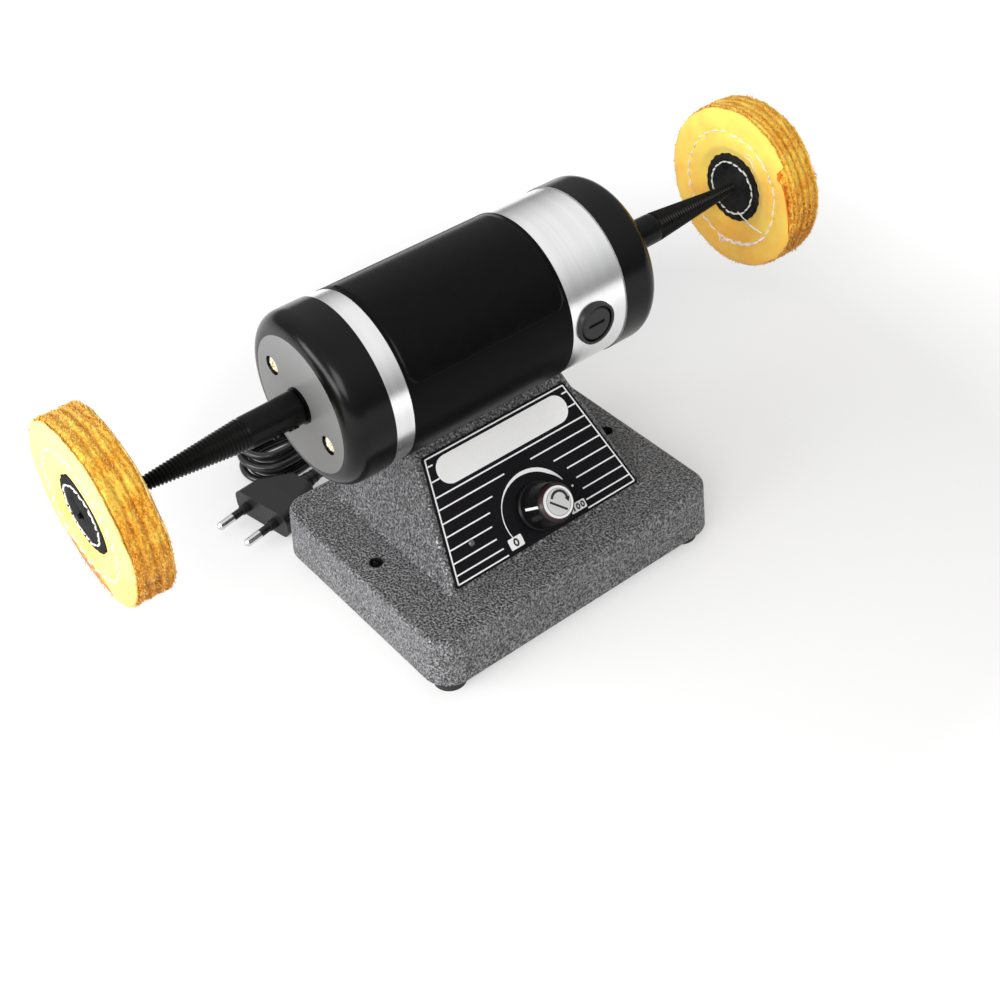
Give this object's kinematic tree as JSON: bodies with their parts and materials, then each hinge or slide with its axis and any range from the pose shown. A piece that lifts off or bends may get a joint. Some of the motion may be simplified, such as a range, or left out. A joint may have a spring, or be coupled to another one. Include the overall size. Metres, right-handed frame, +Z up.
{
  "type": "dental polishing lathe",
  "caption": "Bench polishing motor on a cast pedestal with a speed knob, taper screw spindles carrying stitched cloth buffs, and a mains lead.",
  "frame": {"origin": "on the table, under the middle of the machine (the centre of the plinth's footprint) at the height of the feet's soles", "axes": "+X along the motor shaft towards the end with the brush holders, -Y out of the front with the control panel, +Z up"},
  "size_m": [0.3544, 0.1972, 0.1535],
  "materials": {
    "cast_iron_paint": "grey hammertone enamel on a casting",
    "cover_plate": "zinc-plated sheet",
    "foot_rubber": "matt black",
    "plated_screw": "zinc-plated",
    "panel_black": "satin black sheet with white printed lines",
    "lamp": "dark red lens, unlit",
    "control_case": "plated case",
    "control_nut": "plated",
    "control_shaft": "turned",
    "knob_black": "satin black moulding",
    "knob_cap": "spun disc",
    "tube_steel": "bright turned",
    "sleeve_black": "gloss black",
    "cover_black": "polished black moulding",
    "screw_brass": "pale plated cross-head",
    "bell_alloy": "die-cast",
    "washer_black": "matt black",
    "bolt_black": "blackened",
    "ferrite": "dark grey ferrite",
    "bearing_steel": "ground",
    "shaft_steel": "ground",
    "core_steel": "lacquered laminations",
    "copper": "enamelled copper",
    "commutator_copper": "bare copper",
    "holder_black": "black moulding",
    "carbon": "pressed carbon",
    "spring_steel": "bright wire",
    "spindle_black": "blackened steel",
    "grub_black": "blackened steel",
    "buff_cloth": "yellow treated cotton",
    "disc_cloth": "black cloth with white stitching",
    "board_green": "glass-fibre laminate",
    "standoff": "natural nylon",
    "terminal": "green moulding",
    "capacitor": "yellow potted box",
    "sink": "extruded",
    "gland_black": "flexible moulding",
    "cord_black": "black sheath",
    "tie_black": "flat band",
    "plug_black": "black moulding",
    "pin_metal": "nickel-plated",
    "pin_sleeve": "black insulation"
  },
  "bodies": {
    "housing": {"base_casting": "cast_iron_paint", "base_cover": "cover_plate", "rubber_feet": "foot_rubber", "foot_screws": "plated_screw", "control_panel": "panel_black", "speed_potentiometer": "control_case", "potentiometer_nut": "control_nut", "power_lamp": "lamp", "motor_tube": "tube_steel", "motor_sleeve": "sleeve_black", "right_end_cover": "cover_black", "left_end_cover": "cover_black", "cover_screws": "screw_brass", "right_end_bell": "bell_alloy", "left_end_bell": "bell_alloy", "right_shaft_washer": "washer_black", "left_shaft_washer": "washer_black", "motor_bolts": "bolt_black", "field_magnets": "ferrite", "bearing_outer_rings": "bearing_steel", "bearing_balls": "bearing_steel", "front_brush_holder": "holder_black", "front_brush_cap": "holder_black", "front_carbon_brush": "carbon", "front_brush_spring": "spring_steel", "rear_brush_holder": "holder_black", "rear_brush_cap": "holder_black", "rear_carbon_brush": "carbon", "rear_brush_spring": "spring_steel", "circuit_board": "board_green", "board_standoffs": "standoff", "terminal_block": "terminal", "suppression_capacitor": "capacitor", "heat_sink": "sink", "cord_gland": "gland_black", "plug_body": "plug_black", "plug_strain_relief": "plug_black", "plug_pins": "pin_metal", "plug_pin_sleeves": "pin_sleeve", "cord_entry": "cord_black", "cord_hank": "cord_black", "hank_tie": "tie_black", "cord_tail": "cord_black"},
    "rotor": {"bearing_inner_rings": "bearing_steel", "motor_shaft": "shaft_steel", "armature_core": "core_steel", "armature_winding": "copper", "commutator": "commutator_copper", "left_spindle": "spindle_black", "right_spindle": "spindle_black", "spindle_set_screws": "grub_black", "right_buff": "buff_cloth", "left_buff": "buff_cloth", "right_buff_discs": "disc_cloth", "left_buff_discs": "disc_cloth"},
    "knob": {"potentiometer_shaft": "control_shaft", "knob_body": "knob_black", "knob_disc": "knob_cap"}
  },
  "joints": [
    {"name": "rotor_spin", "type": "hinge", "parent": "housing", "child": "rotor", "pos_m": [0, 0.0169, 0.11455], "axis": [1, 0, 0], "continuous": true},
    {"name": "speed_knob", "type": "hinge", "parent": "housing", "child": "knob", "pos_m": [0, -0.02939, 0.04369], "axis": [0, -0.766, 0.6428], "range_deg": [-195, 45]}
  ]
}
